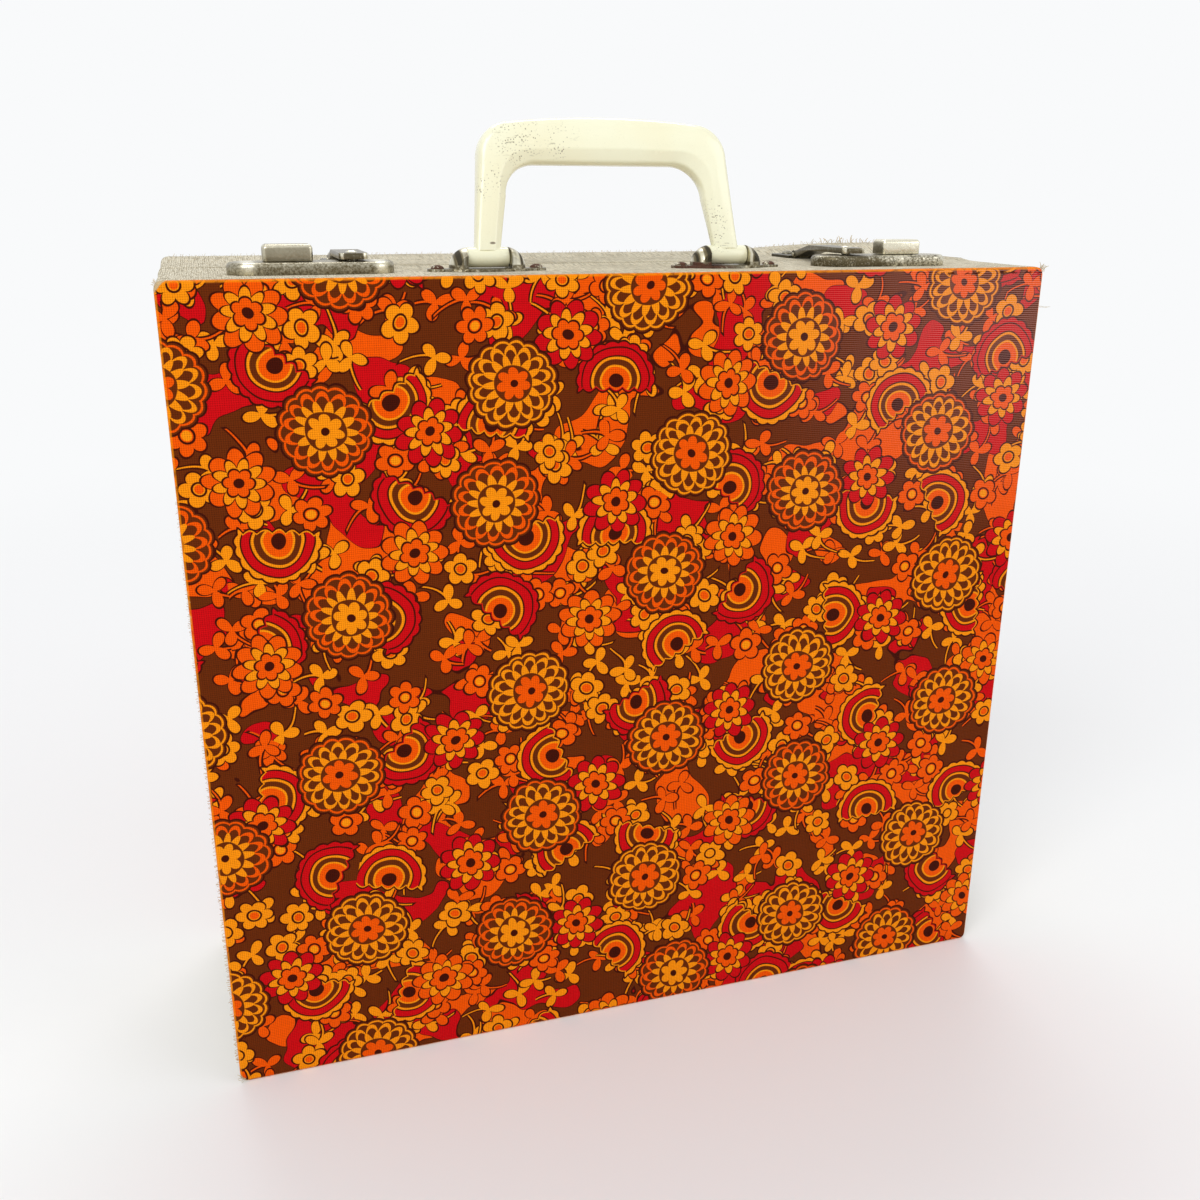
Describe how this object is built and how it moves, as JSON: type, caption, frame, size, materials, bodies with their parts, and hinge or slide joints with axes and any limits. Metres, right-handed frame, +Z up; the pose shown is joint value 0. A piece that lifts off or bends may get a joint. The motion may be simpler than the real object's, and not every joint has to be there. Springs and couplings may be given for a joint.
{
  "type": "record carrying case",
  "caption": "Flat upright carrying case in two cloth-covered halves hinged at the bottom, with sliding latches and a folding moulded handle on top.",
  "frame": {"origin": "centre of the bottom of the bounding box, on the table under the standing case", "axes": "+X to the right seen from the printed front face, +Y from the front face to the back, +Z up through the handle"},
  "size_m": [0.356, 0.114, 0.3882],
  "materials": {
    "print_cloth": "printed woven book cloth in brown, orange, red and yellow-orange with a light varnish",
    "rim_linen": "off-white linen-grained cloth, a little grubby and frayed at the edges",
    "lining_paper": "plain cream lining paper",
    "panel_board": "pressed hardboard",
    "rim_board": "bare thin wood board",
    "handle_plastic": "glossy ivory plastic with scuffs and rubbed dirt",
    "chrome_plate": "thin chrome plate, tarnished and lightly pitted",
    "plain_steel": "plain rolled steel",
    "worn_steel": "plated steel worn dark, with spots of rust",
    "spring_steel": "drawn spring wire"
  },
  "bodies": {
    "front_half": {"front_panel": "panel_board", "front_top_board": "rim_board", "front_bottom_board": "rim_board", "front_left_board": "rim_board", "front_right_board": "rim_board", "front_print_cloth": "print_cloth", "front_rim_cloth": "rim_linen", "front_lining": "lining_paper", "left_handle_bracket": "chrome_plate", "right_handle_bracket": "chrome_plate", "handle_pins": "plain_steel", "handle_bracket_rivets": "worn_steel", "left_lock_plate": "plain_steel", "right_lock_plate": "plain_steel", "left_lock_cover": "chrome_plate", "right_lock_cover": "chrome_plate", "left_return_spring": "spring_steel", "right_return_spring": "spring_steel", "lock_studs": "plain_steel", "left_hinge_front_leaf": "worn_steel", "right_hinge_front_leaf": "worn_steel", "hinge_pins": "plain_steel", "hinge_front_rivets": "worn_steel"},
    "rear_half": {"rear_panel": "panel_board", "rear_top_board": "rim_board", "rear_bottom_board": "rim_board", "rear_left_board": "rim_board", "rear_right_board": "rim_board", "rear_print_cloth": "print_cloth", "rear_rim_cloth": "rim_linen", "rear_lining": "lining_paper", "left_hasp_base": "worn_steel", "right_hasp_base": "worn_steel", "left_hasp_pin": "plain_steel", "right_hasp_pin": "plain_steel", "hasp_base_rivets": "worn_steel", "left_hinge_rear_leaf": "worn_steel", "right_hinge_rear_leaf": "worn_steel", "hinge_rear_rivets": "worn_steel"},
    "handle": {"handle_grip": "handle_plastic"},
    "left_button_slide": {"left_button": "chrome_plate", "left_bolt": "plain_steel"},
    "right_button_slide": {"right_button": "chrome_plate", "right_bolt": "plain_steel"},
    "left_hasp_arm": {"left_hasp": "chrome_plate", "left_hasp_hook": "chrome_plate"},
    "right_hasp_arm": {"right_hasp": "chrome_plate", "right_hasp_hook": "chrome_plate"}
  },
  "joints": [
    {"name": "lid_hinge", "type": "hinge", "parent": "front_half", "child": "rear_half", "pos_m": [0, 0.001, 0.0021], "axis": [-1, 0, 0], "range_deg": [0, 115]},
    {"name": "handle_fold", "type": "hinge", "parent": "front_half", "child": "handle", "pos_m": [-0.006, -0.028, 0.33605], "axis": [1, 0, 0], "range_deg": [-70, 100]},
    {"name": "left_button_slide_joint", "type": "slide", "parent": "front_half", "child": "left_button_slide", "axis": [-1, 0, 0], "range_m": [0, 0.005], "stiffness_N_per_m": 400, "springref_m": -0.002, "deforming": ["left_return_spring"]},
    {"name": "left_hasp_hinge", "type": "hinge", "parent": "rear_half", "child": "left_hasp_arm", "pos_m": [-0.1077, 0.012, 0.3339], "axis": [-1, 0, 0], "range_deg": [0, 105]},
    {"name": "right_button_slide_joint", "type": "slide", "parent": "front_half", "child": "right_button_slide", "axis": [1, 0, 0], "range_m": [0, 0.005], "stiffness_N_per_m": 400, "springref_m": -0.002, "deforming": ["right_return_spring"]},
    {"name": "right_hasp_hinge", "type": "hinge", "parent": "rear_half", "child": "right_hasp_arm", "pos_m": [0.0997, 0.012, 0.3339], "axis": [-1, 0, 0], "range_deg": [0, 105]}
  ]
}
